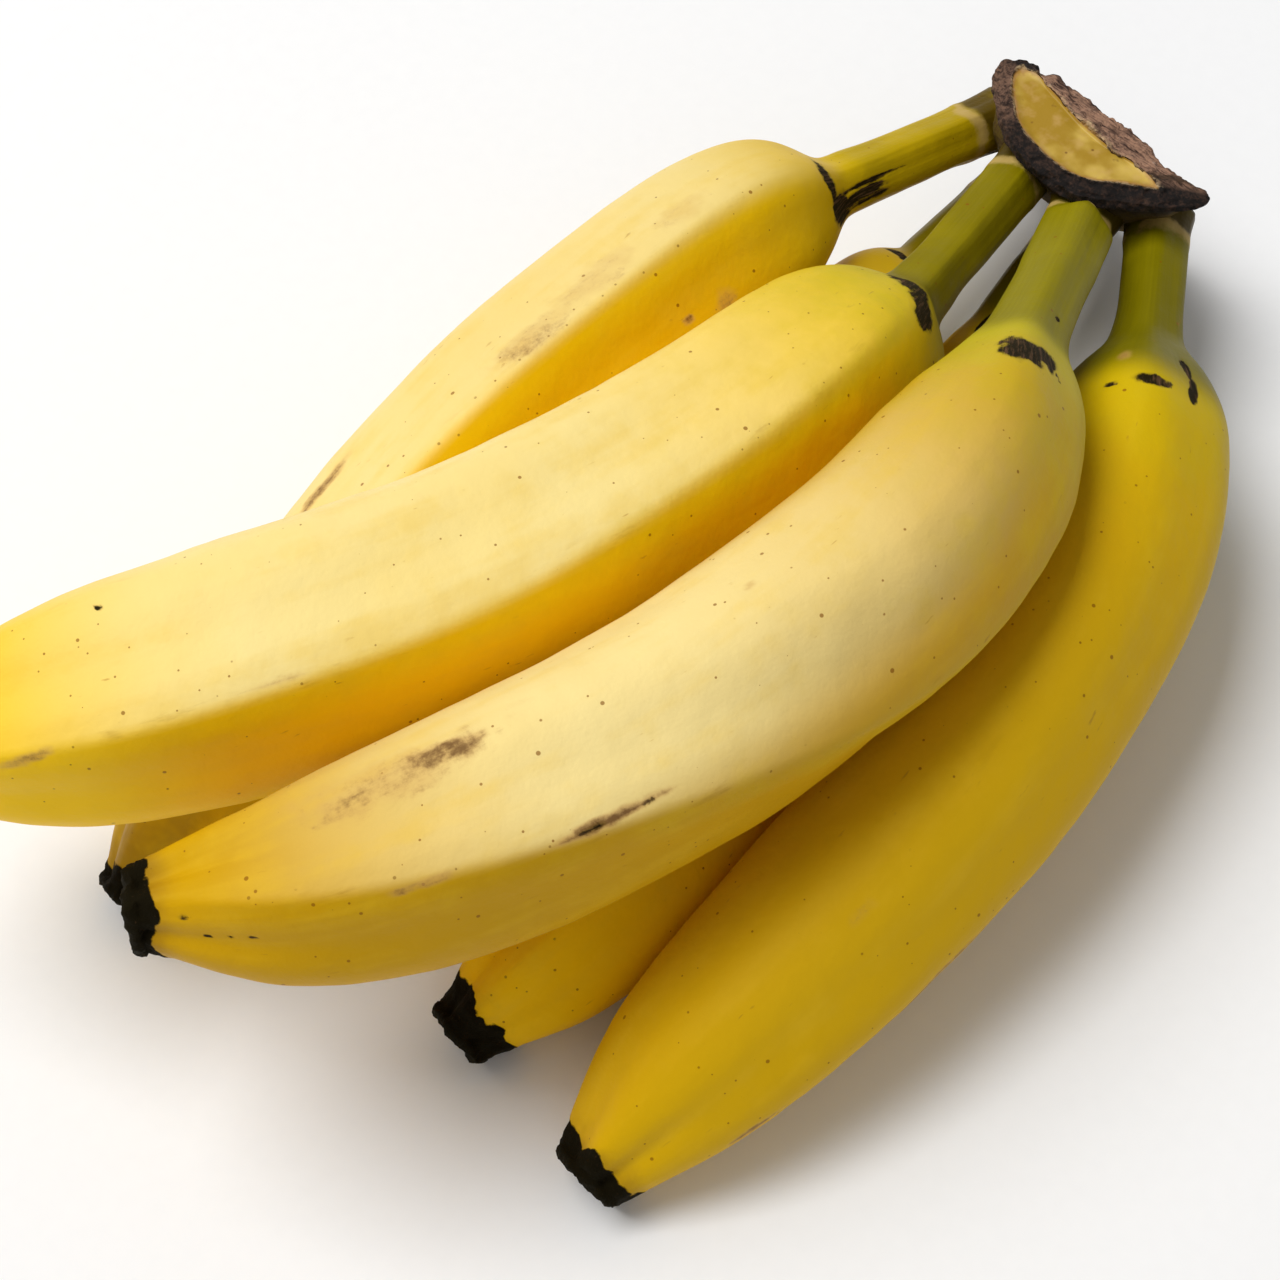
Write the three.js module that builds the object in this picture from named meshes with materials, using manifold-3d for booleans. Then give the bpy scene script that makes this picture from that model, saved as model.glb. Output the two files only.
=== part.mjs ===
import * as THREE from "three";
import { mergeVertices } from "three/addons/utils/BufferGeometryUtils.js";
import Module from "manifold-3d";

// A bunch of six bananas on one crown, lying on z = 0 with the outer side of the hand up.
// Millimetres. +X runs from the tips to the crown, +Z is up.

const wasm = await Module();
wasm.setup();

const GAP = 0.3; // clearance between the crown and each stalk in its socket
const OUTWARD = new THREE.Vector3(-0.4, -0.35, 0.85); // the hand's outer side, as it lies
const SIDES = 20; // points round a banana
const FACES = 5; // a banana's section is a rounded pentagon
const ROUNDING = 6; // higher makes the ridges between the faces sharper

const STALK_STATIONS = 9;
const BODY_STATIONS = 27;
const TIP_STATIONS = 6;
const TIP_LENGTH = 12; // stretch before the tip that has closer stations
const CAP_LENGTH = 2; // dried flower end past the last full ring

// How the width grows out of the neck and falls to the tip.
const TIP_SHARE = 0.36; // the tip's width over the belly's
const NECK_POWER = 1.3;
const TIP_POWER = 1.25;
const FLARE_STRETCH = 5; // reach of the stalk's flare at the neck and at the crown

// route: the middle of the fruit, from the crown through the neck, its second point, to the tip.
// ridge: angle of the main ridge from OUTWARD at places spread evenly from the crown to the tip,
// in degrees, positive towards -Y.
const BANANAS = [
  {
    name: "outer_banana_1",
    colour: 0xe9c65c,
    belly: 31,
    stalk: 9.6,
    root: 11,
    neckReach: 9,
    tipReach: 17,
    onFloor: true,
    ridge: [-14, -13, -12.5, -12, -14, -24, -30],
    route: [
      [125, 26, 23],
      [83, 32, 36],
      [70, 35, 38],
      [40, 38, 38],
      [7, 40, 35],
      [-26, 40, 25],
      [-53, 39, 15],
      [-73, 39, 6],
    ],
  },
  {
    name: "outer_banana_2",
    colour: 0xf2d26a,
    belly: 37,
    stalk: 9.8,
    root: 11.5,
    neckReach: 14,
    tipReach: 17,
    ridge: [0, 0, 2, 4, 13, 16, 16],
    route: [
      [117, 14, 27],
      [71, 6, 38],
      [54, 4, 43],
      [22, 5, 48],
      [-14, 13, 52],
      [-47, 29, 52],
      [-72, 47, 48],
      [-90, 62, 46],
    ],
  },
  {
    name: "outer_banana_3",
    colour: 0xf0cf66,
    belly: 34.5,
    stalk: 11.8,
    root: 14,
    neckReach: 21,
    tipReach: 20,
    ridge: [60, 60, 64, 62, 31, 12, -6],
    route: [
      [116, 1, 27],
      [69, -17, 47],
      [50, -25, 53],
      [21, -30, 57],
      [-13, -26, 57],
      [-45, -14, 55],
      [-70, 0, 52],
      [-86, 14, 51],
    ],
  },
  {
    name: "outer_banana_4",
    colour: 0xc79c14,
    belly: 32.5,
    stalk: 10.4,
    root: 12,
    neckReach: 12,
    tipReach: 18,
    onFloor: true,
    ridge: [58, 57, 62, 68, 68, 60, 58],
    route: [
      [124, -8, 23],
      [97, -24, 27],
      [79, -34, 28],
      [52, -45, 29],
      [19, -50, 28],
      [-14, -49, 22],
      [-41, -46, 14],
      [-61, -44, 6],
    ],
  },
  {
    name: "inner_banana_1",
    colour: 0xd9ac2a,
    belly: 26.6,
    stalk: 8,
    root: 8,
    neckReach: 9,
    tipReach: 17,
    onFloor: true,
    ridge: [30, 27, 23, 20, 17, 13, 10],
    route: [
      [126, 20, 14],
      [92, 19, 16],
      [76, 17, 17],
      [46, 14, 13],
      [16, 13, 14],
      [-15, 13, 15],
      [-40, 15, 11],
      [-60, 18, 7],
    ],
  },
  {
    name: "inner_banana_2",
    colour: 0xb98512,
    belly: 28.7,
    stalk: 8.4,
    root: 8.6,
    neckReach: 14,
    tipReach: 17,
    onFloor: true,
    ridge: [20, 13, 7, 0, -7, -13, -20],
    route: [
      [124, 7, 14],
      [90, 0, 18],
      [75, -7, 18],
      [47, -16, 15],
      [17, -18, 16],
      [-13, -19, 15],
      [-38, -19, 12],
      [-57, -15, 6],
    ],
  },
];

// Distance from the middle to the skin of a pentagon section of unit half width, at an angle
// from the main ridge.
function sectionRadius(angle) {
  let sum = 0;
  for (let face = 0; face < FACES; face++) {
    const normal = ((face + 0.5) * 2 * Math.PI) / FACES;
    sum += Math.max(0, Math.cos(angle - normal)) ** ROUNDING;
  }
  return 0.95 * sum ** (-1 / ROUNDING);
}

// Width of a banana at a distance past its neck, given how far the neck is from the crown and
// from the tip.
function widthAt(banana, pastNeck, stalkLength, bodyLength) {
  const { belly, stalk, root, neckReach, tipReach } = banana;
  const neck = stalk * 1.22;
  if (pastNeck < 0) {
    const fromRoot = stalkLength + pastNeck;
    const neckFlare = (neck - stalk) * Math.exp(pastNeck / FLARE_STRETCH);
    const rootFlare = (root - stalk) * Math.exp(-fromRoot / FLARE_STRETCH);
    return stalk + neckFlare + rootFlare;
  }
  const toTip = Math.max(0, bodyLength - pastNeck);
  const rise = Math.exp(-((pastNeck / neckReach) ** NECK_POWER));
  const fall = Math.exp(-((toTip / tipReach) ** TIP_POWER));
  return belly - (belly - neck) * rise - belly * (1 - TIP_SHARE) * fall;
}

// Distances along the route at which a banana has a ring of points.
function stations(stalkLength, length) {
  const bodyLength = length - stalkLength - TIP_LENGTH;
  const list = [];
  for (let i = 0; i < STALK_STATIONS; i++) {
    list.push((stalkLength * i) / STALK_STATIONS);
  }
  for (let i = 0; i < BODY_STATIONS; i++) {
    list.push(stalkLength + (bodyLength * i) / BODY_STATIONS);
  }
  for (let i = 0; i <= TIP_STATIONS; i++) {
    list.push(length - TIP_LENGTH + (TIP_LENGTH * i) / TIP_STATIONS);
  }
  return list;
}

// A closed skin over rings of points, each ring of the same count, with a point at both ends.
// The rings turn clockwise as seen along their order.
function loft(rings, startPoint, endPoint) {
  const count = rings[0].length;
  const positions = [startPoint, ...rings.flat(), endPoint].flatMap((p) => [p.x, p.y, p.z]);
  const last = rings.length * count + 1;
  const index = [];
  for (let side = 0; side < count; side++) {
    const next = (side + 1) % count;
    index.push(0, 1 + side, 1 + next);
    for (let ring = 0; ring < rings.length - 1; ring++) {
      const near = 1 + ring * count;
      const far = near + count;
      index.push(near + side, far + side, far + next);
      index.push(near + side, far + next, near + next);
    }
    index.push(last, last - count + next, last - count + side);
  }
  const geometry = new THREE.BufferGeometry();
  geometry.setAttribute("position", new THREE.Float32BufferAttribute(positions, 3));
  geometry.setIndex(index);
  return geometry;
}

// Angle of a banana's main ridge from OUTWARD at a share of the route.
function ridgeAt(banana, share) {
  const places = banana.ridge.map((angle, i) => new THREE.Vector2(i, angle));
  return THREE.MathUtils.degToRad(new THREE.SplineCurve(places).getPoint(share).y);
}

// One ring of a banana's skin at a share of the route.
function bananaRing(banana, curve, share, width, shift = 0) {
  const middle = curve.getPointAt(share);
  const along = curve.getTangentAt(share);
  const top = OUTWARD.clone().addScaledVector(along, -OUTWARD.dot(along)).normalize();
  const side = top.clone().cross(along);
  middle.addScaledVector(along, shift);
  const ridge = ridgeAt(banana, share);
  const ring = [];
  for (let i = 0; i < SIDES; i++) {
    const angle = (i * 2 * Math.PI) / SIDES;
    const radius = (width / 2) * sectionRadius(angle);
    ring.push(
      middle
        .clone()
        .addScaledVector(top, radius * Math.cos(angle + ridge))
        .addScaledVector(side, radius * Math.sin(angle + ridge)),
    );
  }
  return ring;
}

function routeOf(banana) {
  const points = banana.route.map((p) => new THREE.Vector3(...p));
  const curve = new THREE.CatmullRomCurve3(points, false, "centripetal");
  const length = curve.getLength();
  const neckShare = 1 / (points.length - 1);
  const lengths = curve.getLengths();
  const stalkLength = lengths[Math.round(neckShare * (lengths.length - 1))];
  return { curve, length, stalkLength };
}

function bananaSolid(banana) {
  const { curve, length, stalkLength } = routeOf(banana);
  const rings = stations(stalkLength, length).map((at) => {
    const width = widthAt(banana, at - stalkLength, stalkLength, length - stalkLength);
    return bananaRing(banana, curve, at / length, width);
  });
  const tipWidth = TIP_SHARE * banana.belly;
  rings.push(bananaRing(banana, curve, 1, 0.86 * tipWidth, 0.8 * CAP_LENGTH));
  const tip = curve.getPointAt(1).addScaledVector(curve.getTangentAt(1), CAP_LENGTH);
  return loft(rings, curve.getPointAt(0), tip);
}

// The room that a stalk needs in the crown: the stalk, a gap wider all round and at its end.
function socketSolid(banana) {
  const { curve, length, stalkLength } = routeOf(banana);
  const rings = [];
  for (let i = 0; i <= STALK_STATIONS; i++) {
    const at = (stalkLength * i) / STALK_STATIONS;
    const width = widthAt(banana, at - stalkLength, stalkLength, length - stalkLength);
    const shift = i === 0 ? -GAP : 0;
    rings.push(bananaRing(banana, curve, at / length, width + 2 * GAP, shift));
  }
  const start = curve.getPointAt(0).addScaledVector(curve.getTangentAt(0), -GAP);
  return loft(rings, start, curve.getPointAt(stalkLength / length));
}

// The crown: a half-moon top that widens downwards behind a slanted cut, then tucks under.
const CROWN = {
  name: "crown",
  colour: 0x7a5a30,
  top: 37,
  cutSlope: 0.32, // how far the cut runs out along +X for each millimetre down
  cutTop: 124.5,
  cutSwell: 0.8,
  lean: 0.3, // how far the lower part moves towards +Y for each millimetre down
  middleY: 5,
  // [height, how far the bulge stands out from the cut, half length along Y]
  levels: [
    [8, 8, 13],
    [10, 11, 16.5],
    [16, 13.5, 18.5],
    [22, 15, 19.5],
    [28, 15.5, 20],
    [33, 15, 20.5],
    [37, 14, 20],
  ],
  sides: 36,
};

function crownRing([height, bulge, halfLength]) {
  const down = CROWN.top - height;
  const cutX = CROWN.cutTop + CROWN.cutSlope * down;
  const centreY = CROWN.middleY + CROWN.lean * down;
  const ring = [];
  for (let i = 0; i < CROWN.sides; i++) {
    const angle = (-i * 2 * Math.PI) / CROWN.sides;
    const reach = Math.cos(angle);
    const out = reach > 0 ? CROWN.cutSwell * reach ** 0.6 : -bulge * (-reach) ** 0.85;
    ring.push(new THREE.Vector3(cutX + out, centreY + halfLength * Math.sin(angle), height));
  }
  return ring;
}

function toManifold(geometry) {
  const bare = geometry.clone();
  bare.deleteAttribute("normal");
  bare.deleteAttribute("uv");
  const merged = mergeVertices(bare, 1e-4);
  return new wasm.Manifold(
    new wasm.Mesh({
      numProp: 3,
      vertProperties: merged.attributes.position.array,
      triVerts: new Uint32Array(merged.index.array),
    }),
  );
}

function toGeometry(solid) {
  const { vertProperties, triVerts } = solid.getMesh();
  const geometry = new THREE.BufferGeometry();
  geometry.setAttribute("position", new THREE.Float32BufferAttribute(vertProperties, 3));
  geometry.setIndex([...triVerts]);
  return geometry;
}

function crownSolid() {
  const rings = CROWN.levels.map(crownRing);
  const centreOf = (ring) =>
    ring.reduce((sum, p) => sum.add(p), new THREE.Vector3()).divideScalar(ring.length);
  const skin = loft(rings, centreOf(rings[0]), centreOf(rings.at(-1)));
  let solid = toManifold(skin);
  for (const banana of BANANAS) {
    solid = solid.subtract(toManifold(socketSolid(banana)));
  }
  return toGeometry(solid);
}

function part(name, geometry, colour, roughness) {
  geometry.computeVertexNormals();
  const material = new THREE.MeshStandardMaterial({ color: colour, roughness, metalness: 0 });
  const mesh = new THREE.Mesh(geometry, material);
  mesh.name = name;
  return mesh;
}

// The bananas that reach down to the surface touch it.
for (const banana of BANANAS.filter(({ onFloor }) => onFloor)) {
  const skin = bananaSolid(banana);
  skin.computeBoundingBox();
  for (const point of banana.route) {
    point[2] -= skin.boundingBox.min.z;
  }
}

const bunch = new THREE.Group();
for (const banana of BANANAS) {
  bunch.add(part(banana.name, bananaSolid(banana), banana.colour, 0.5));
}
bunch.add(part(CROWN.name, crownSolid(), CROWN.colour, 0.8));

// The origin is under the middle of the bunch, on the surface.
const middle = new THREE.Box3().setFromObject(bunch, true).getCenter(new THREE.Vector3());
bunch.position.set(-middle.x, -middle.y, 0);
const lyingBunch = new THREE.Group();
lyingBunch.add(bunch);

export default lyingBunch;
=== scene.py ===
import math
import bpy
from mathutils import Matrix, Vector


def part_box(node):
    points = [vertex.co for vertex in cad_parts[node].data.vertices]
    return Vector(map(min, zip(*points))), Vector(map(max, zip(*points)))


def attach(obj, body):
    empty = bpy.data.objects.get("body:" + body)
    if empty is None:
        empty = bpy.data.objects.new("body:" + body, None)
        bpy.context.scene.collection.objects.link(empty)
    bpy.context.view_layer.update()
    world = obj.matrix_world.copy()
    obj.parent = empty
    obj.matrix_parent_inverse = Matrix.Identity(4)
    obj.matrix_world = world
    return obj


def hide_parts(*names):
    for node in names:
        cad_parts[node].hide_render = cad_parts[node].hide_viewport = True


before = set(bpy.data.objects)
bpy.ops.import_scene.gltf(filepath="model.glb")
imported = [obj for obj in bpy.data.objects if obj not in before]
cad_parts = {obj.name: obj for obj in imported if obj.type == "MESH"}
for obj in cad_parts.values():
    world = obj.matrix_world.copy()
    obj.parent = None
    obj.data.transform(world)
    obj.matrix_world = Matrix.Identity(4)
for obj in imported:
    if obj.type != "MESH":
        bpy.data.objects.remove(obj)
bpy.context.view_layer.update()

from types import SimpleNamespace

import bmesh
import bpy
import numpy as np
from mathutils import Vector

# A bunch of six bananas, lying on a pale surface and seen from above.
#
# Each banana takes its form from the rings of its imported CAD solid. The rings are smoothed into a
# fine skin, which then gets its ridges, creases, dried tip and marks. Lengths are in millimetres
# until a mesh is written, and angles on a banana are in degrees from its outer side.

MM = 0.001
OUTWARD = np.array([-0.4, -0.35, 0.85])  # the hand's outer side, as it lies
RING_POINTS = 20  # points round a packed banana
NECK_RING = 9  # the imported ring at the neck, counted from the crown
AROUND = 144  # points round a fine banana
ALONG = 330  # rings of a fine banana, without its tip's end
CROWDING = 0.035  # rings move towards the tip by up to this share of the length
FACES = 5  # a banana's section is a rounded pentagon
CREASE = 36  # degrees from a ridge to the middle of the face beside it
PRESSED = 0.6  # skin lower than this is pressed flat by the floor


# ---------------------------------------------------------------------------------------------
# Noise and curves


def hashed(cells, seed):
    """A number from -1 to 1 for each whole-number cell, the same on every run."""
    x, y, z = (cells[..., k].astype(np.uint64) for k in range(3))
    h = x * np.uint64(73856093) ^ y * np.uint64(19349663) ^ z * np.uint64(83492791)
    h = (h + np.uint64(seed * 2654435761)) & np.uint64(0xFFFFFFFF)
    for _ in range(2):
        h = ((h ^ (h >> np.uint64(15))) * np.uint64(2246822519)) & np.uint64(0xFFFFFFFF)
        h = ((h ^ (h >> np.uint64(13))) * np.uint64(3266489917)) & np.uint64(0xFFFFFFFF)
    return (h >> np.uint64(8)).astype(float) / float(1 << 23) - 1.0


def noise(points, size, seed=0):
    """Smooth noise from about -1 to 1 at points, with lumps about size across."""
    scaled = np.asarray(points, float) / size + 4096.0
    low = np.floor(scaled).astype(np.int64)
    t = scaled - low
    t = t * t * t * (t * (t * 6 - 15) + 10)
    total = np.zeros(scaled.shape[:-1])
    for corner in range(8):
        bits = np.array([corner & 1, corner >> 1 & 1, corner >> 2 & 1])
        weight = np.prod(np.where(bits, t, 1 - t), axis=-1)
        total += weight * hashed(low + bits, seed)
    return total


def layered(points, size, seed=0, layers=3):
    """Noise with finer and fainter layers added."""
    return sum(noise(points, size / 2**k, seed + k) / 2**k for k in range(layers))


def smooth(low, high, x):
    """0 below low, 1 above high, and a soft step between."""
    t = np.clip((np.asarray(x, float) - low) / (high - low), 0, 1)
    return t * t * (3 - 2 * t)


def spline(at, values, wanted):
    """A natural cubic curve through values at the rising places at, read at the wanted places."""
    at = np.asarray(at, float)
    values = np.asarray(values)
    n = len(at)
    h = np.diff(at)
    slopes = (np.diff(values, axis=0).T / h).T
    system = np.zeros((n, n))
    system[0, 0] = system[-1, -1] = 1
    right = np.zeros(values.shape, values.dtype)
    for i in range(1, n - 1):
        system[i, i - 1 : i + 2] = h[i - 1], 2 * (h[i - 1] + h[i]), h[i]
        right[i] = 6 * (slopes[i] - slopes[i - 1])
    bend = np.linalg.solve(system, right.reshape(n, -1)).reshape(values.shape)
    k = np.clip(np.searchsorted(at, wanted) - 1, 0, n - 2)
    d = wanted - at[k]
    e = at[k + 1] - wanted

    def column(x):
        return x.reshape((-1,) + (1,) * (values.ndim - 1))

    w = column(h[k])
    d, e = column(d), column(e)
    curve = (bend[k] * e**3 + bend[k + 1] * d**3) / (6 * w)
    line = (values[k] / w - bend[k] * w / 6) * e + (values[k + 1] / w - bend[k + 1] * w / 6) * d
    return curve + line


def unit(v):
    return v / np.linalg.norm(v, axis=-1, keepdims=True)


def turned(angle):
    """An angle in degrees brought to between -180 and 180."""
    return (angle + 180) % 360 - 180


# ---------------------------------------------------------------------------------------------
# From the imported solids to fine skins


def packed_rings(node):
    """The rings of points of a packed banana, from the crown to the tip, in millimetres."""
    mesh = bmesh.new()
    mesh.from_mesh(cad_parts[node].data)
    bmesh.ops.remove_doubles(mesh, verts=mesh.verts, dist=1e-6)
    poles = [v for v in mesh.verts if len(v.link_edges) == RING_POINTS]
    start = max(poles, key=lambda v: v.co.x)
    seen = {start}
    layer = [start]
    rings = []
    while layer:
        touched = {e.other_vert(v) for v in layer for e in v.link_edges}
        layer = sorted(touched - seen, key=lambda v: v.index)
        seen.update(layer)
        if len(layer) == RING_POINTS:
            rings.append([tuple(v.co) for v in layer])
    mesh.free()
    return np.array(rings) / MM


def frame_axes(tangents):
    """For each direction along a banana, the outer side and the side to its right, across it."""
    top = OUTWARD - (tangents @ OUTWARD)[:, None] * tangents
    top = unit(top)
    return top, np.cross(top, tangents)


def banana_form(node):
    """A banana's middle line and its section's harmonics, as functions of the distance from the crown."""
    rings = packed_rings(node)
    centres = rings.mean(axis=1)
    spread = rings - centres[:, None]
    tangents = np.array([np.linalg.svd(ring)[2][2] for ring in spread])
    forward = np.gradient(centres, axis=0)
    tangents *= np.sign((tangents * forward).sum(axis=1))[:, None]
    top, side = frame_axes(tangents)
    across = np.einsum("rpk,rk->rp", spread, top)
    aside = np.einsum("rpk,rk->rp", spread, side)
    angle = np.arctan2(aside, across)
    radius = np.hypot(across, aside)
    harmonics = np.array(
        [(radius * np.exp(-1j * m * angle)).mean(axis=1) for m in range(RING_POINTS // 2)]
    ).T
    at = np.r_[0, np.cumsum(np.linalg.norm(np.diff(centres, axis=0), axis=1))]
    return at, centres, harmonics


def grid_mesh(name, points, attributes, vectors=None):
    """A closed mesh from rings of points, with a point at each end, and a map for baking.

    Rings turn anticlockwise as seen from the last of them, so that faces point out. attributes
    holds a number for each point of the grid, and vectors a triple."""
    rings, count = points.shape[:2]
    first = points[0].mean(axis=0)
    last = points[-1].mean(axis=0)
    flat = np.concatenate([points.reshape(-1, 3), [first, last]]) * MM
    ring = np.arange(rings - 1)[:, None] * count
    near = np.arange(count)[None, :]
    far = (near + 1) % count
    quads = np.stack([ring + near, ring + far, ring + count + far, ring + count + near], axis=-1)
    begin, end = rings * count, rings * count + 1
    faces = [tuple(q) for q in quads.reshape(-1, 4).tolist()]
    faces += [(begin, (k + 1) % count, k) for k in range(count)]
    tail = (rings - 1) * count
    faces += [(end, tail + k, tail + (k + 1) % count) for k in range(count)]
    mesh = bpy.data.meshes.new(name)
    mesh.from_pydata(flat.tolist(), [], faces)
    mesh.update()
    for key, values in attributes.items():
        whole = np.concatenate([values.ravel(), [values[0].mean(), values[-1].mean()]])
        layer = mesh.attributes.new(key, "FLOAT", "POINT")
        layer.data.foreach_set("value", whole.astype(np.float32))
    for key, values in (vectors or {}).items():
        ends = [values[0].mean(axis=0), values[-1].mean(axis=0)]
        whole = np.concatenate([values.reshape(-1, 3), ends])
        layer = mesh.attributes.new(key, "FLOAT_VECTOR", "POINT")
        layer.data.foreach_set("vector", whole.astype(np.float32).ravel())
    add_bake_map(mesh, rings, count)
    mesh.shade_smooth()
    made = bpy.data.objects.new(name, mesh)
    bpy.context.scene.collection.objects.link(made)
    return made


def add_bake_map(mesh, rings, count):
    """Rolls the grid's skin flat: round it is across the map, and along it is up the map."""
    margin = 0.002
    layer = mesh.uv_layers.new(name="OFBake")
    places = np.zeros((len(mesh.loops), 2), np.float32)
    corner = 0
    rows = rings + 1
    for r in range(rings - 1):
        block = places[corner : corner + 4 * count].reshape(count, 4, 2)
        u = np.arange(count) / count
        block[:, 0, 0] = block[:, 3, 0] = u
        block[:, 1, 0] = block[:, 2, 0] = u + 1 / count
        block[:, :2, 1] = (r + 1) / rows
        block[:, 2:, 1] = (r + 2) / rows
        corner += 4 * count
    for pole, edge, order in ((0, 1, (1, 0)), (rows, rows - 1, (0, 1))):
        for k in range(count):
            places[corner] = (k + 0.5) / count, pole / rows
            places[corner + 1] = (k + order[0]) / count, edge / rows
            places[corner + 2] = (k + order[1]) / count, edge / rows
            corner += 3
    layer.data.foreach_set("uv", (margin + (1 - 2 * margin) * places).ravel())


# ---------------------------------------------------------------------------------------------
# Bananas

# The end of a banana past its last full ring: distance along and share of the tip's radius.
TIP_PROFILE = [
    (0.5, 1.03),
    (1.0, 1.04),
    (1.5, 1.0),
    (1.9, 0.93),
    (2.1, 0.83),
    (2.0, 0.72),
    (1.6, 0.6),
    (1.2, 0.48),
    (1.0, 0.36),
    (1.1, 0.25),
    (1.4, 0.14),
    (1.5, 0.06),
]

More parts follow.
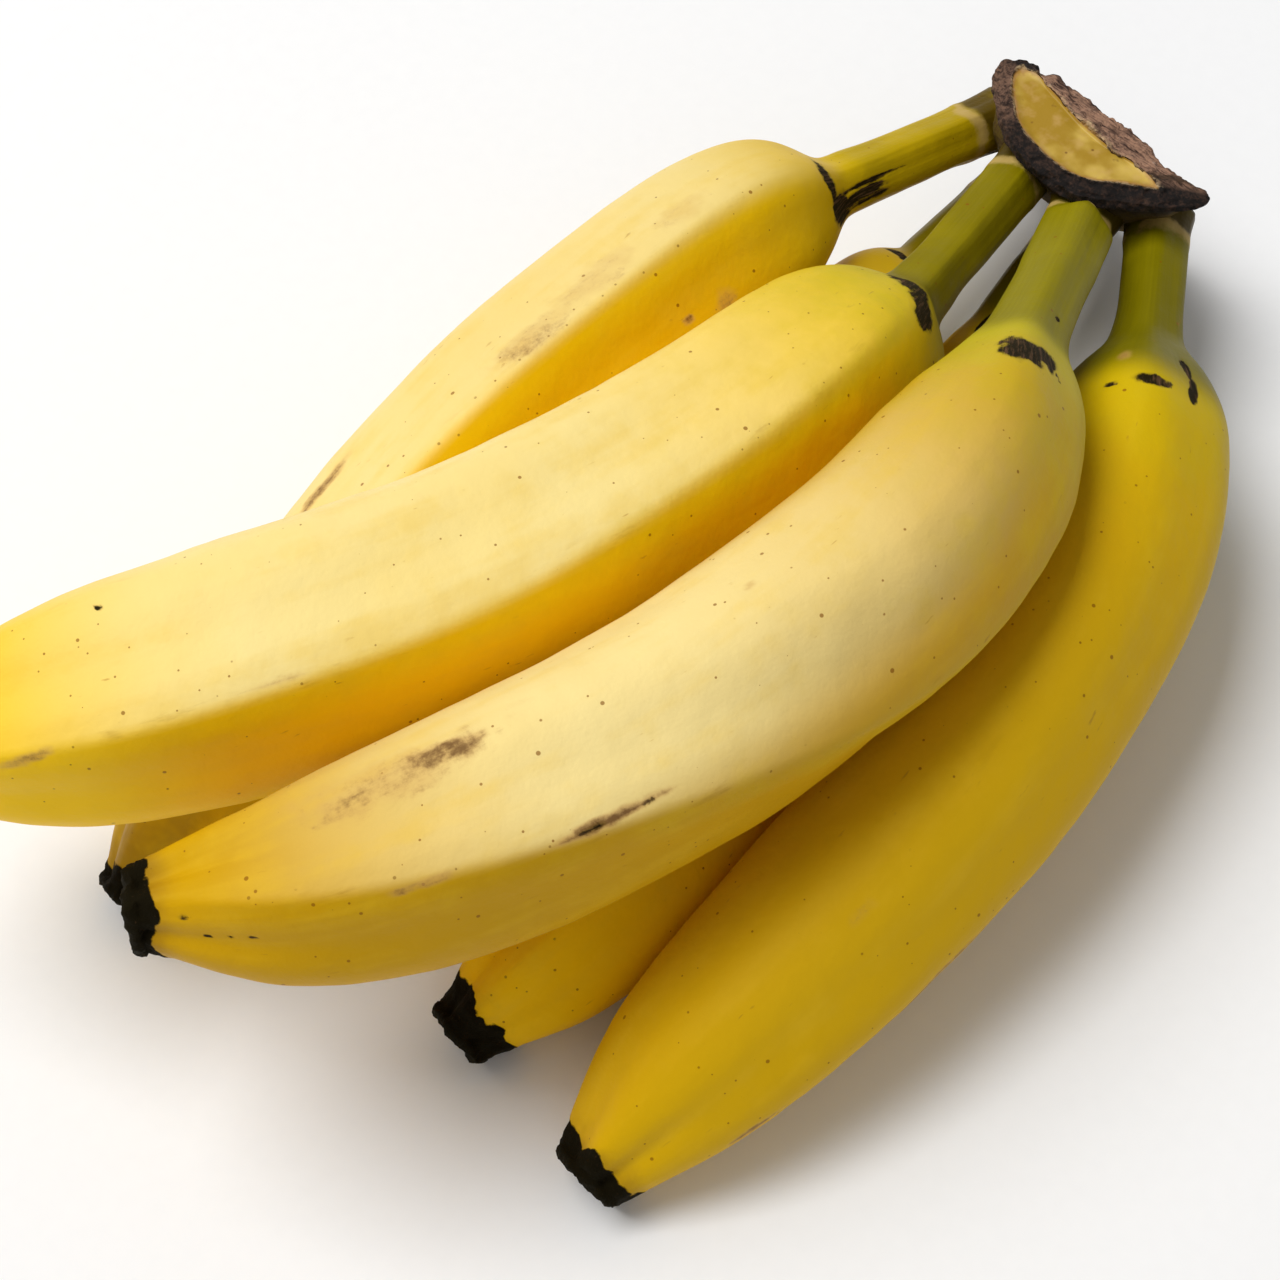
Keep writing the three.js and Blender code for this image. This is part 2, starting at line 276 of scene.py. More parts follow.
# seed: what its noise starts from, so that no two bananas match.
# tuck: how far the stalk's end sinks under the crown's lip.
# neck_at: where green stalk turns to yellow peel, past the neck.
# browning_and_shade: how far from the tip the peel has browned, and on outer_banana_1 also painted shade
# over its tip, which lies under the other bananas.
# crust: length of the dried black tip.
# angular, rounded: how much the main ridge is sharpened, and the sides away from it rounded off.
# pale_from, pale_until: where the pale side fades in past the neck, and out before the tip.
# pale, green: how strong the pale side and the green are.
# ridge: angle that the main ridge is nearest to at the neck.
# collar: distance of the stalk's swollen collar from the crown.
# stalk, deep, light: colours of the stalk, of the side in shade and of the pale side, which is partly the
# peel's paler tone and partly a painted highlight on the faces turned to the light.
# scars, bruises: dark and brown marks. Each is (distance past the neck, angle, half its length
# along, half its width across, turn in degrees, strength).
BANANAS = {
    "outer_banana_1": dict(
        seed=11,
        tuck=0.3,
        neck_at=3,
        # Browning reaches far up this banana as painted shade over its tip, which lies under the other
        # bananas.
        browning_and_shade=45,
        crust=2.6,
        angular=1.1,
        rounded=0.4,
        pale_from=(3, 24),
        pale_until=(5, 44),
        stalk=(190, 160, 4),
        ridge=-13,
        collar=10.8,
        pale=1.0,
        deep=(236, 188, 4),
        light=(244, 218, 142),
        green=0.2,
        scars=[
            (4.2, 0, 1.3, 5.2, 6, 1.0),
            (2.6, 34, 2.6, 3.6, 14, 1.0),
            (-5, 21, 8.0, 0.5, 0, 0.8),
            (-3, 38, 7.0, 1.0, 0, 0.95),
            (-6, 51, 5.0, 0.7, 0, 0.75),
        ],
        bruises=[
            (40.6, 28.5, 1.3, 0.9, 0, 0.85),
            (34, 35, 3.0, 2.4, 30, 0.55),
            (97, -66, 7.0, 1.3, 0, 0.85),
            (30, -27, 8.0, 3.4, 0, 0.34),
            (48, -26, 10.0, 4.0, 0, 0.42),
            (62, -21, 8.0, 3.2, 0, 0.46),
            (62, -8, 2.5, 1.2, 0, 0.3),
        ],
    ),
    "outer_banana_2": dict(
        seed=23,
        tuck=0.6,
        neck_at=9,
        browning_and_shade=9,
        crust=2.6,
        angular=1.0,
        rounded=0.7,
        pale_from=(12, 85),
        pale_until=(5, 56),
        stalk=(136, 122, 2),
        ridge=0,
        collar=8.5,
        pale=0.95,
        deep=(251, 203, 10),
        light=(249, 227, 154),
        green=0.8,
        scars=[
            (4.8, -36, 2.2, 4.0, -36, 1.0),
            (8.7, -12, 3.4, 5.0, -44, 1.0),
            (12.8, 8, 2.8, 4.0, -50, 1.0),
            (143, -45, 1.1, 0.5, -35, 0.95),
        ],
        bruises=[(157, 19, 6.0, 0.9, 10, 0.7), (124, 12, 5.0, 0.7, 0, 0.45)],
    ),
    "outer_banana_3": dict(
        seed=37,
        tuck=1.8,
        neck_at=6,
        browning_and_shade=9,
        crust=2.6,
        angular=0.9,
        rounded=1.1,
        pale_from=(16, 95),
        pale_until=(6, 62),
        stalk=(146, 134, 2),
        ridge=62,
        collar=9.6,
        pale=1.0,
        # This darker deep colour is painted shade on the faces turned towards the banana beside it.
        deep=(206, 157, 6),
        light=(249, 225, 152),
        green=1.0,
        scars=[
            (14.8, -9, 4.4, 4.2, 0, 1.0),
            (13.8, 9, 2.6, 3.4, 16, 1.0),
            (15.0, 23, 0.5, 1.6, -50, 0.85),
            (-6, 24, 0.8, 0.6, 0, 0.9),
            (111, 19.5, 2.6, 0.5, 4, 0.72),
            (104, 21, 1.6, 0.4, 8, 0.7),
            (163.5, 8, 1.0, 0.6, 0, 0.6),
            (160.6, 29, 0.6, 0.45, 0, 0.75),
            (157.5, 28, 0.5, 0.35, 0, 0.75),
            (154.8, 27, 0.6, 0.4, 0, 0.75),
        ],
        bruises=[
            (124.5, -40.5, 8.5, 1.9, -6, 0.8),
            (132, -40, 17.0, 4.4, -4, 0.5),
            (110, 19.5, 9.5, 0.8, 0, 0.95),
            (133, 13.5, 5.5, 0.8, 0, 0.6),
            (77, -40.5, 1.5, 0.8, 20, 0.45),
        ],
    ),
    "outer_banana_4": dict(
        seed=41,
        tuck=0.3,
        neck_at=17,
        browning_and_shade=9,
        crust=3.4,
        angular=0.2,
        rounded=1.7,
        pale_from=(20, 90),
        pale_until=(5, 44),
        stalk=(122, 112, 2),
        ridge=56,
        collar=7.0,
        pale=0.08,
        deep=(220, 174, 8),
        light=(236, 200, 70),
        green=0.55,
        scars=[
            (17.8, -7.5, 1.5, 3.8, 10, 1.0),
            (10.5, 25.5, 2.6, 1.1, 12, 1.0),
            (15.0, 26.5, 3.0, 1.1, -14, 1.0),
            (19.4, -31, 0.7, 1.4, 0, 0.7),
        ],
        bruises=[
            (11.5, -26, 2.0, 1.6, 0, 0.6),
            (118, 68, 17.0, 0.9, 0, 0.75),
            (146, 60, 6.0, 0.7, 0, 0.75),
            (115.6, 2, 3.0, 1.6, 0, 0.3),
        ],
    ),
    "inner_banana_1": dict(
        seed=53,
        tuck=0.3,
        neck_at=5,
        browning_and_shade=9,
        crust=3.0,
        angular=0.6,
        rounded=0.5,
        pale_from=(8, 50),
        pale_until=(5, 44),
        stalk=(136, 120, 4),
        ridge=27,
        collar=13.0,
        pale=0.45,
        deep=(222, 176, 24),
        light=(240, 212, 130),
        green=0.2,
        scars=[(5, -25, 1.3, 3.0, 0, 0.95)],
        bruises=[(60, 120, 9.0, 1.6, 0, 0.6)],
    ),
    "inner_banana_2": dict(
        seed=67,
        tuck=0.3,
        neck_at=5,
        browning_and_shade=9,
        crust=5.5,
        angular=0.6,
        rounded=0.5,
        pale_from=(8, 50),
        pale_until=(5, 44),
        stalk=(112, 100, 4),
        ridge=12,
        collar=13.0,
        pale=0.1,
        deep=(250, 198, 4),
        light=(232, 190, 66),
        green=0.25,
        scars=[(4, -28, 4.5, 0.7, 0, 1.0)],
        bruises=[(80, 150, 7.0, 1.4, 0, 0.6)],
    ),
}


def mark_mask(marks, past_neck, around, angle, points, seed):
    """A soft field that is high inside the marks."""
    field = np.zeros(past_neck.shape)
    for k, (place, turn, half_long, half_wide, slant, strength) in enumerate(marks):
        a = past_neck - place
        b = np.radians(turned(angle - turn)) * around
        c, s = math.cos(math.radians(slant)), math.sin(math.radians(slant))
        u = (c * a + s * b) / half_long
        v = (-s * a + c * b) / half_wide
        edge = 0.25 * layered(points, 2.4, seed + 90 + k)
        field = np.maximum(field, strength * (1 - smooth(0.35, 1.35, np.hypot(u, v) + edge)))
    return field


def main_ridge(harmonics, near_neck):
    """The angle of the main ridge along a banana: the ridge that the pale side ends at."""
    main = -np.unwrap(np.angle(harmonics[:, FACES])) / FACES
    degrees = np.degrees(main)
    step = 360 / FACES
    shift = round((near_neck - degrees[NECK_RING]) / step) * step
    return degrees + shift


def place_on_fruit(node, near_neck):
    """A banana's fine rings before their relief, and where each of their points lies on the fruit."""
    at, centres, harmonics = banana_form(node)
    ridges = main_ridge(harmonics, near_neck)
    # The last packed ring is the cap's, past the tip's last full ring.
    at, centres, harmonics, ridges = at[:-1], centres[:-1], harmonics[:-1], ridges[:-1]
    length = at[-1]
    share = np.linspace(0, 1, ALONG)
    s = np.clip(length * (share + CROWDING * np.sin(np.pi * share) ** 2), 0, length)
    middle = spline(at, centres, s)
    tangent = unit(np.gradient(middle, s, axis=0))
    section = spline(at, harmonics, s)
    ridge = spline(at, ridges, s)
    theta = np.linspace(-math.pi, math.pi, AROUND, endpoint=False)
    mean = section[:, 0].real[:, None]
    shape = np.zeros((ALONG, AROUND))
    for m in range(1, section.shape[1]):
        shape += 2 * (section[:, m, None] * np.exp(1j * m * theta)[None]).real

    # The tip's end continues the last ring.
    end_along, end_share = np.array(TIP_PROFILE).T
    middle = np.concatenate([middle, middle[-1] + end_along[:, None] * tangent[-1]])
    tangent = np.concatenate([tangent, np.repeat(tangent[-1:], len(end_along), axis=0)])
    mean = np.concatenate([mean, mean[-1] * end_share[:, None]])
    shape = np.concatenate([shape, shape[-1] * end_share[:, None]])
    ridge = np.concatenate([ridge, np.repeat(ridge[-1:], len(end_along))])[:, None]
    s = np.concatenate([s, length + end_along])[:, None]

    top, side = frame_axes(tangent)
    ways = top[:, None] * np.cos(theta)[:, None] + side[:, None] * np.sin(theta)[:, None]
    angle = np.degrees(theta) + 0 * s
    step = 360 / FACES
    around = mean.max() * np.stack([np.cos(theta), np.sin(theta)], axis=-1)
    skin = middle[:, None] + (mean + shape)[..., None] * ways
    return SimpleNamespace(
        skin=skin,
        ways=ways,  # straight out from the middle line
        tangent=tangent[:, None],
        mean=mean,
        shape=shape,
        s=s + 0 * angle,
        theta=theta,
        angle=angle,
        past_neck=s - at[NECK_RING] + 0 * angle,
        to_tip=length - s + 0 * angle,
        before_end=(s <= length) * 1.0,
        from_main=turned(angle - ridge),
        from_ridge=(angle - ridge + step / 2) % step - step / 2,
        # Places on the fruit as if it were straight, for fibres that run along it.
        straight=np.concatenate([(s + 0 * angle)[..., None], around + 0 * skin[..., :2]], axis=-1),
    )


def bell(x, width):
    """1 at 0, falling smoothly to nothing over about twice the width."""
    return np.exp(-((x / width) ** 2))


def fading(distance, reach):
    """1 up to distance 0, then falling away over about reach."""
    return np.exp(-np.maximum(distance, 0) / reach)


def banana_zones(f, look):
    """Soft fields that say which part of a banana each point is on."""
    seed = look["seed"]
    near_main = bell(f.from_main, 42)
    crust = smooth(look["crust"], look["crust"] - 1.6, f.to_tip + 1.3 * layered(f.skin, 3.0, seed + 5))
    off_collar = f.s - look["collar"] + 1.4 * noise(f.skin, 4, seed + 9)
    return SimpleNamespace(
        near_main=near_main,
        crest=bell(f.from_ridge, 4.6) * (0.25 + 0.75 * near_main),
        body=smooth(6, 40, f.past_neck) * smooth(2, 16, f.to_tip),
        stalk=1 - smooth(look["neck_at"] - 12, look["neck_at"] + 8, f.past_neck),
        tip=fading(f.to_tip, 11) * f.before_end,
        crust=np.maximum(crust, 1 - f.before_end),
        collar=bell(off_collar, 1.9),
        scar=mark_mask(look["scars"], f.past_neck, f.mean, f.angle, f.skin, seed),
        bruise=mark_mask(look["bruises"], f.past_neck, f.mean, f.angle, f.skin, seed + 7),
    )


def banana_relief(f, zone, look):
    """How far a banana's skin stands out from its smooth form."""
    seed = look["seed"]
    fibres = f.straight * np.array([0.09, 1.0, 1.0])
    folds = f.straight * np.array([0.25, 1.0, 1.0])
    # Swells and dents.
    lift = 0.3 * noise(f.skin, 24, seed) + 0.14 * noise(f.skin, 8, seed + 1)
    lift += 0.05 * noise(f.skin, 3.4, seed + 13)
    lift *= smooth(0, 25, f.past_neck)
    # Sharper near the main ridge and rounder away from it.
    sharpen = look["angular"] * zone.near_main - look["rounded"] * (1 - zone.near_main)
    lift += 0.45 * zone.body * sharpen * f.shape
    uneven = 0.8 + 0.2 * noise(f.skin, 15, seed + 2)
    lift += 0.45 * zone.body * look["angular"] * zone.crest * uneven
    # Creases that gather towards the tip.
    between = np.abs(f.from_ridge) - CREASE
    lift += zone.tip * (0.5 * f.shape + 0.8 * noise(folds, 6, seed + 10))
    lift -= 0.45 * zone.tip * bell(between, 11)
    lift -= 0.5 * bell(f.to_tip, 30) * zone.body * bell(between, 14)
    # The stalk's edges and fibres, and its end under the crown's lip.
    lift += zone.stalk * (0.1 * zone.crest + 0.03 * noise(fibres, 2.2, seed + 3))
    lift += zone.stalk * 0.25 * noise(f.skin, 9, seed + 4)
    lift += 0.18 * zone.collar
    under_lip = smooth(look["collar"] + 4, look["collar"] - 1, f.s)
    lift -= look["tuck"] * under_lip * smooth(-0.2, 0.7, np.cos(f.theta))
    # Scars are sunk, and the dried tip is rough.
    lift -= 0.16 * smooth(0.3, 0.7, zone.scar)
    lift += zone.crust * (0.3 * layered(f.skin, 2.3, seed + 6) + 0.16 * noise(f.skin, 0.8, seed + 11))
    return lift


def rested(height):
    """Heights pressed flat softly where they come down to the floor, which is at 0."""
    return np.where(height < PRESSED, PRESSED * np.exp(height / PRESSED - 1), height)


def build_banana(node, look):
    seed = look["seed"]
    f = place_on_fruit(node, look["ridge"])
    zone = banana_zones(f, look)
    skin = f.skin + banana_relief(f, zone, look)[..., None] * f.ways
    blunt = 0.4 * layered(skin, 1.8, seed + 8) + 0.2 * noise(skin, 0.8, seed + 12)
    skin = skin + ((1 - f.before_end) * blunt)[..., None] * f.tangent
    skin[..., 2] = rested(skin[..., 2])

    # The pale side, partly the peel's paler tone and partly a painted highlight on the faces turned to
    # the light, ends at the main ridge, softly at the neck and more sharply further on.
    edge = 4 + 14 * fading(f.past_neck - look["neck_at"], 35)
    pale = smooth(-edge, 4, -f.from_main) * smooth(-165, -120, f.from_main)
    # Painted shade: the pale side fades over the faces turned away from the light.
    pale *= 1 - 0.9 * smooth(6, 48, f.angle)
    pale *= look["pale"] * smooth(*look["pale_from"], f.past_neck) ** 0.7
    pale *= smooth(*look["pale_until"], f.to_tip)
    green_neck = fading(f.past_neck - look["neck_at"], 30)
    green_ridge = bell(f.from_main - 6, 13) * fading(f.past_neck, 75)
    attributes = {
        "ridge": zone.crest * zone.body,
        # The pale side: partly the peel's own paler tone and partly painted highlight.
        "pale": pale,
        "stalk": zone.stalk,
        "green": np.maximum(green_neck, green_ridge),
        "scar": zone.scar,
        "bruise": zone.bruise,
        "crust": zone.crust,
        # Browned peel near the tip; on outer_banana_1 it also stands for painted shade.
        "tip": fading(f.to_tip, look["browning_and_shade"]),
        "collar": zone.collar,
        # Where the stalk runs under the crown's lip, darkened there as painted shade.
        "root": smooth(look["collar"] + 2.5, look["collar"] - 3, f.s),
    }
    # Angles run clockwise as seen from the tip, so the rings are turned round to face out.
    attributes = {key: values[:, ::-1] for key, values in attributes.items()}
    return grid_mesh(node + "_skin", skin[:, ::-1], attributes, {"straight": f.straight[:, ::-1] * MM})


# ---------------------------------------------------------------------------------------------
# Materials


def linear(colour):
    """A colour given as 0 to 255 on screen, for a shader."""
    c = np.array(colour) / 255
    return (*np.where(c <= 0.04045, c / 12.92, ((c + 0.055) / 1.055) ** 2.4), 1.0)


class Nodes:
    """Short ways to add linked shader nodes to a material."""

    def __init__(self, name):
        self.material = bpy.data.materials.new(name)
        self.material.use_nodes = True
        self.tree = self.material.node_tree
        self.shader = next(n for n in self.tree.nodes if n.type == "BSDF_PRINCIPLED")

    def set(self, socket, value):
        if isinstance(value, bpy.types.NodeSocket):
            self.tree.links.new(value, socket)
        else:
            socket.default_value = value

    def attribute(self, name, vector=False):
        node = self.tree.nodes.new("ShaderNodeAttribute")
        node.attribute_name = name
        return node.outputs["Vector" if vector else "Fac"]

    def place(self):
        return self.tree.nodes.new("ShaderNodeTexCoord").outputs["Object"]

    def stretched(self, vector, scale):
        node = self.tree.nodes.new("ShaderNodeVectorMath")
        node.operation = "MULTIPLY"
        self.set(node.inputs[0], vector)
        node.inputs[1].default_value = scale
        return node.outputs["Vector"]

    def noise(self, vector, size, detail=2.0, roughness=0.5, offset=0.0):
        """Noise from 0 to 1 with lumps about size millimetres across."""
        node = self.tree.nodes.new("ShaderNodeTexNoise")
        node.noise_dimensions = "4D"
        self.set(node.inputs["Vector"], vector)
        node.inputs["W"].default_value = offset
        node.inputs["Scale"].default_value = 1 / (size * MM)
        node.inputs["Detail"].default_value = detail
        node.inputs["Roughness"].default_value = roughness
        return node.outputs["Fac"]

    def cells(self, vector, size):
        """Distance to the nearest of scattered points, and a random number for each."""
        node = self.tree.nodes.new("ShaderNodeTexVoronoi")
        self.set(node.inputs["Vector"], vector)
        node.inputs["Scale"].default_value = 1 / (size * MM)
        split = self.tree.nodes.new("ShaderNodeSeparateColor")
        self.set(split.inputs[0], node.outputs["Color"])
        return node.outputs["Distance"], split.outputs[0]

    def math(self, kind, a, b=0.0, clamp=False):
        node = self.tree.nodes.new("ShaderNodeMath")
        node.operation = kind
        node.use_clamp = clamp
        self.set(node.inputs[0], a)
        self.set(node.inputs[1], b)
        return node.outputs[0]

    def step(self, value, low, high):
        """0 where value is low, 1 where it is high, and a soft step between."""
        node = self.tree.nodes.new("ShaderNodeMapRange")
        node.interpolation_type = "SMOOTHSTEP"
        self.set(node.inputs["Value"], value)
        turned_round = low > high
        node.inputs["From Min"].default_value = min(low, high)
        node.inputs["From Max"].default_value = max(low, high)
        node.inputs["To Min"].default_value = 1.0 if turned_round else 0.0
        node.inputs["To Max"].default_value = 0.0 if turned_round else 1.0
        return node.outputs["Result"]

    def mix(self, share, a, b):
        node = self.tree.nodes.new("ShaderNodeMix")
        node.data_type = "RGBA"
        self.set(node.inputs["Factor"], share)
        self.set(node.inputs["A"], a)
        self.set(node.inputs["B"], b)
        return next(o for o in node.outputs if o.type == "RGBA")

    def swing(self, value, times):
        """A field from 0 to 1 turned into one round 0 that is times as wide."""
        return self.math("MULTIPLY", self.math("SUBTRACT", value, 0.5), times)

    def paint(self, under, mask, strength, colour):
        """A colour laid over what is under it, where mask is high."""
        return self.mix(self.math("MULTIPLY", mask, strength), under, linear(colour))

    def bump(self, height, strength, distance, normal=None):
        node = self.tree.nodes.new("ShaderNodeBump")
        node.inputs["Strength"].default_value = strength
        node.inputs["Distance"].default_value = distance * MM
        self.set(node.inputs["Height"], height)
        if normal is not None:
            self.set(node.inputs["Normal"], normal)
        return node.outputs["Normal"]


def dots(nodes, place, size, radius, kept):
    """Scattered dots, one in a share of the cells, with a radius of up to a share of the cell."""
    distance, random = nodes.cells(place, size)
    grown = nodes.math("MULTIPLY", nodes.step(random, 1 - kept, 1.0), radius)
    inside = nodes.math("SUBTRACT", grown, distance)
    return nodes.step(inside, -0.01, 0.02)


def peel_fields(n, look):
    """The noises that the colours and the bumps of a peel share."""
    place = n.place()
    straight = n.attribute("straight", vector=True)
    offset = float(look["seed"])

    def along(shrink, size, detail, roughness, number):
        """Noise in streaks that run along the fruit."""
        return n.noise(n.stretched(straight, (shrink, 1, 1)), size, detail, roughness, offset + number)

    return SimpleNamespace(
        place=place,
        offset=offset,
        cloud=n.noise(place, 26, 3, 0.55, offset),
        mottle=n.noise(place, 7, 3, 0.6, offset + 1),
        grain=n.noise(place, 1.1, 4, 0.7, offset + 5),
        band=along(0.1, 5, 3, 0.55, 11),
        streak=along(0.25, 2.4, 4, 0.65, 3),
        fibre=along(0.06, 1.3, 3, 0.6, 2),
        scratch=along(0.3, 0.9, 2, 0.5, 9),
        torn=along(0.22, 1.3, 3, 0.6, 10),
        strand=along(0.2, 0.7, 3, 0.6, 12),
    )


def fruit_colour(n, f, look):
    """The pale side, partly the peel's paler tone and partly a painted highlight on the faces turned to
    the light, and the deep side of the fruit, with warmer bands and the last of the green.
    """
    uneven = n.math("ADD", 0.92, n.swing(f.cloud, 0.6))
    # Pale side mask: partly the peel's paler tone and partly painted highlight.
    pale = n.math("MULTIPLY", n.attribute("pale"), uneven, True)
    colour = n.mix(pale, linear(look["deep"]), linear(look["light"]))
    warmer = n.math("ADD", n.math("MULTIPLY", f.mottle, 0.4), n.math("MULTIPLY", f.band, 0.6))
    colour = n.paint(colour, n.step(warmer, 0.46, 0.66), 0.3, (236, 192, 44))
    green = n.step(n.math("ADD", n.attribute("green"), n.swing(f.mottle, 0.5)), 0.1, 1.1)
    return n.paint(colour, green, look["green"], (198, 182, 10))


def stalk_over(n, f, look, colour):
    """The green stalk, with painted shade darkening its root where it runs under the crown's lip."""
    stalk = look["stalk"]
    darker, lighter = ([share * c for c in stalk] for share in (0.94, 1.12))
    green = n.mix(n.step(f.fibre, 0.3, 0.75), linear(darker), linear(stalk))
    green = n.mix(n.step(f.cloud, 0.45, 0.75), green, linear(lighter))
    colour = n.mix(n.step(n.attribute("stalk"), 0.2, 0.95), colour, green)
    # Painted shade: dark brown on the stalk's root under the crown's lip.
    under_lip_shade = n.math("ADD", n.attribute("root"), n.swing(f.mottle, 1.1))
    return n.paint(colour, n.step(under_lip_shade, 0.5, 1.1), 0.85, (58, 38, 10))


def wear_over(n, f, colour):
    """Scuffed ridges, the waxy collar, patches of fine scratches, freckles and a few black dots."""
    ridge = n.attribute("ridge")
    scuffed = n.math("MULTIPLY", ridge, n.step(f.streak, 0.56, 0.72))
    colour = n.paint(colour, scuffed, 0.38, (158, 110, 24))
    collar = n.math("MULTIPLY", n.attribute("collar"), n.step(f.mottle, 0.3, 0.55))
    collar = n.math("ADD", collar, n.swing(f.grain, 0.81))
    colour = n.paint(colour, n.step(collar, 0.3, 0.95), 0.75, (204, 172, 104))
    scratched = n.math("MULTIPLY", n.step(f.scratch, 0.66, 0.74), n.step(f.mottle, 0.52, 0.64))
    colour = n.paint(colour, scratched, 0.5, (170, 116, 34))
    freckles = n.math("MAXIMUM", dots(n, f.place, 3.6, 0.1, 0.8), dots(n, f.place, 1.9, 0.11, 0.45))
    colour = n.paint(colour, freckles, 0.75, (138, 80, 8))
    on_ridges = n.math("MULTIPLY", dots(n, f.place, 1.5, 0.17, 0.5), n.step(ridge, 0.15, 0.5))
    colour = n.paint(colour, on_ridges, 0.6, (128, 82, 16))
    return n.paint(colour, dots(n, f.place, 14, 0.04, 0.35), 0.9, (48, 26, 8))


def bruises_over(n, f, colour):
    """Brown bruises broken up by fine noise, each with a soft halo."""
    mark = n.attribute("bruise")
    halo = n.step(n.math("ADD", mark, n.swing(f.mottle, 0.6)), 0.1, 0.7)
    colour = n.paint(colour, halo, 0.5, (206, 160, 92))
    broken = n.math("ADD", n.swing(f.grain, 0.9), n.swing(f.streak, 1.1))
    bruise = n.step(n.math("ADD", mark, broken), 0.3, 1.0)
    brown = n.mix(bruise, linear((180, 130, 80)), linear((92, 50, 28)))
    return n.mix(n.math("MULTIPLY", bruise, 0.85), colour, brown)


def scars_over(n, f, colour):
    """Black fibrous scars with a brown halo. Returns the colour and the scars' mask."""
    mark = n.attribute("scar")
    halo = n.step(n.math("ADD", mark, n.swing(f.mottle, 0.5)), 0.14, 0.6)
    colour = n.paint(colour, halo, 0.55, (112, 84, 24))
    ragged = n.math("ADD", n.swing(f.grain, 0.63), n.swing(f.torn, 1.0))
    scar = n.step(n.math("ADD", mark, ragged), 0.34, 0.64)
    black = n.mix(n.step(f.strand, 0.46, 0.68), linear((14, 7, 5)), linear((92, 66, 48)))
    return n.mix(n.math("MULTIPLY", scar, 0.98), colour, black), scar


def tip_over(n, f, colour):
    """Browned peel near the tip, which on outer_banana_1 also stands for painted shade, and the dried
    black end. Returns the colour and the end's mask.
    """
    # Browned peel near the tip, and painted shade where it reaches far, as on outer_banana_1.
    browned_and_shaded = n.step(n.math("ADD", n.attribute("tip"), n.swing(f.mottle, 0.7)), 0.45, 1.0)
    colour = n.paint(colour, browned_and_shaded, 0.6, (124, 82, 26))
    crust = n.step(n.math("ADD", n.attribute("crust"), n.swing(f.grain, 0.54)), 0.35, 0.6)
    flecks = n.step(n.noise(f.place, 0.7, 3, 0.7, f.offset + 6), 0.62, 0.78)
    return n.mix(crust, colour, n.paint(linear((9, 5, 4)), flecks, 0.5, (88, 62, 44))), crust


def peel_material(node, look):
    n = Nodes(node + "_peel")
    f = peel_fields(n, look)
    colour = fruit_colour(n, f, look)
    colour = stalk_over(n, f, look, colour)
    colour = wear_over(n, f, colour)
    colour = bruises_over(n, f, colour)
    colour, scar = scars_over(n, f, colour)
    colour, crust = tip_over(n, f, colour)
    n.set(n.shader.inputs["Base Color"], colour)

    dry = n.math("MAXIMUM", crust, n.math("MULTIPLY", scar, 0.8))
    rough = n.math("ADD", 0.42, n.math("MULTIPLY", f.mottle, 0.14))
    rough = n.math("ADD", rough, n.math("MULTIPLY", dry, 0.35), True)
    n.set(n.shader.inputs["Roughness"], rough)
    n.shader.inputs["Specular IOR Level"].default_value = 0.17
    n.shader.inputs["Specular Tint"].default_value = (1.0, 0.84, 0.28, 1)

    pores = n.noise(f.place, 0.55, 2, 0.5, f.offset + 7)
    dimples = n.noise(f.place, 2.6, 2, 0.5, f.offset + 8)
    normal = n.bump(pores, 0.3, 0.14)
    normal = n.bump(dimples, 0.45, 0.35, normal)
    normal = n.bump(f.fibre, 0.2, 0.15, normal)
    normal = n.bump(n.math("MULTIPLY", f.grain, dry), 0.7, 0.5, normal)
    n.set(n.shader.inputs["Normal"], normal)
    return n.material


# ---------------------------------------------------------------------------------------------
# Crown

CROWN_AROUND = 320  # points round the crown
CROWN_SEED = 83
FOOT = 1.5  # height of the rounded edge round the underside
LIP_HEIGHT = 3.9  # the lip's, and less at the pointed end

# Stations round the crown's top, from its pointed end past the cut side to its round head and
# back past the stalks. Each is the waxy face's edge and the rim's edge, as (x, y) from the middle
# of the crown's box, and how far the rim lies below the top.
CROWN_TOP = [
    ((-4.4, -16.8), (-0.4, -23.2), 0.9),
    ((-2.9, -12.9), (1.6, -17.4), 1.5),
    ((-2.8, -8.3), (2.9, -11.4), 2.0),
    ((-2.1, -2.9), (4.1, -4.4), 2.3),
    ((-1.0, 2.6), (5.0, 1.8), 2.4),
    ((0.5, 7.1), (5.5, 7.2), 2.2),
    ((1.8, 10.9), (5.3, 11.0), 1.5),
    ((2.5, 13.0), (3.6, 13.1), 0.9),
    ((2.3, 15.0), (3.9, 15.7), 0.6),
    ((1.1, 16.3), (2.1, 18.1), 0.4),
    ((-0.9, 16.0), (-1.1, 18.5), 0.3),
    ((-2.9, 14.4), (-4.3, 15.8), 0.3),
    ((-6.5, 11.1), (-8.0, 12.2), 0.4),
    ((-9.0, 7.7), (-10.7, 8.5), 0.4),
    ((-10.4, 3.4), (-12.7, 3.5), 0.4),
    ((-11.3, -0.6), (-13.5, -1.2), 0.4),
    ((-11.0, -6.0), (-13.2, -7.4), 0.4),
    ((-8.6, -10.5), (-10.3, -12.6), 0.4),
    ((-6.4, -14.3), (-7.8, -16.8), 0.5),
    ((-5.2, -16.6), (-5.0, -20.4), 0.6),
]
CUT_STATIONS = (0.4, 7.2)  # the cut side runs between these stations


def closed_curve(stations, count):
    """A smooth closed curve through stations, read at evenly spread places."""
    n = len(stations)
    three_times = np.concatenate([stations, stations, stations])
    return spline(np.arange(3 * n), three_times, n + np.arange(count) * n / count)


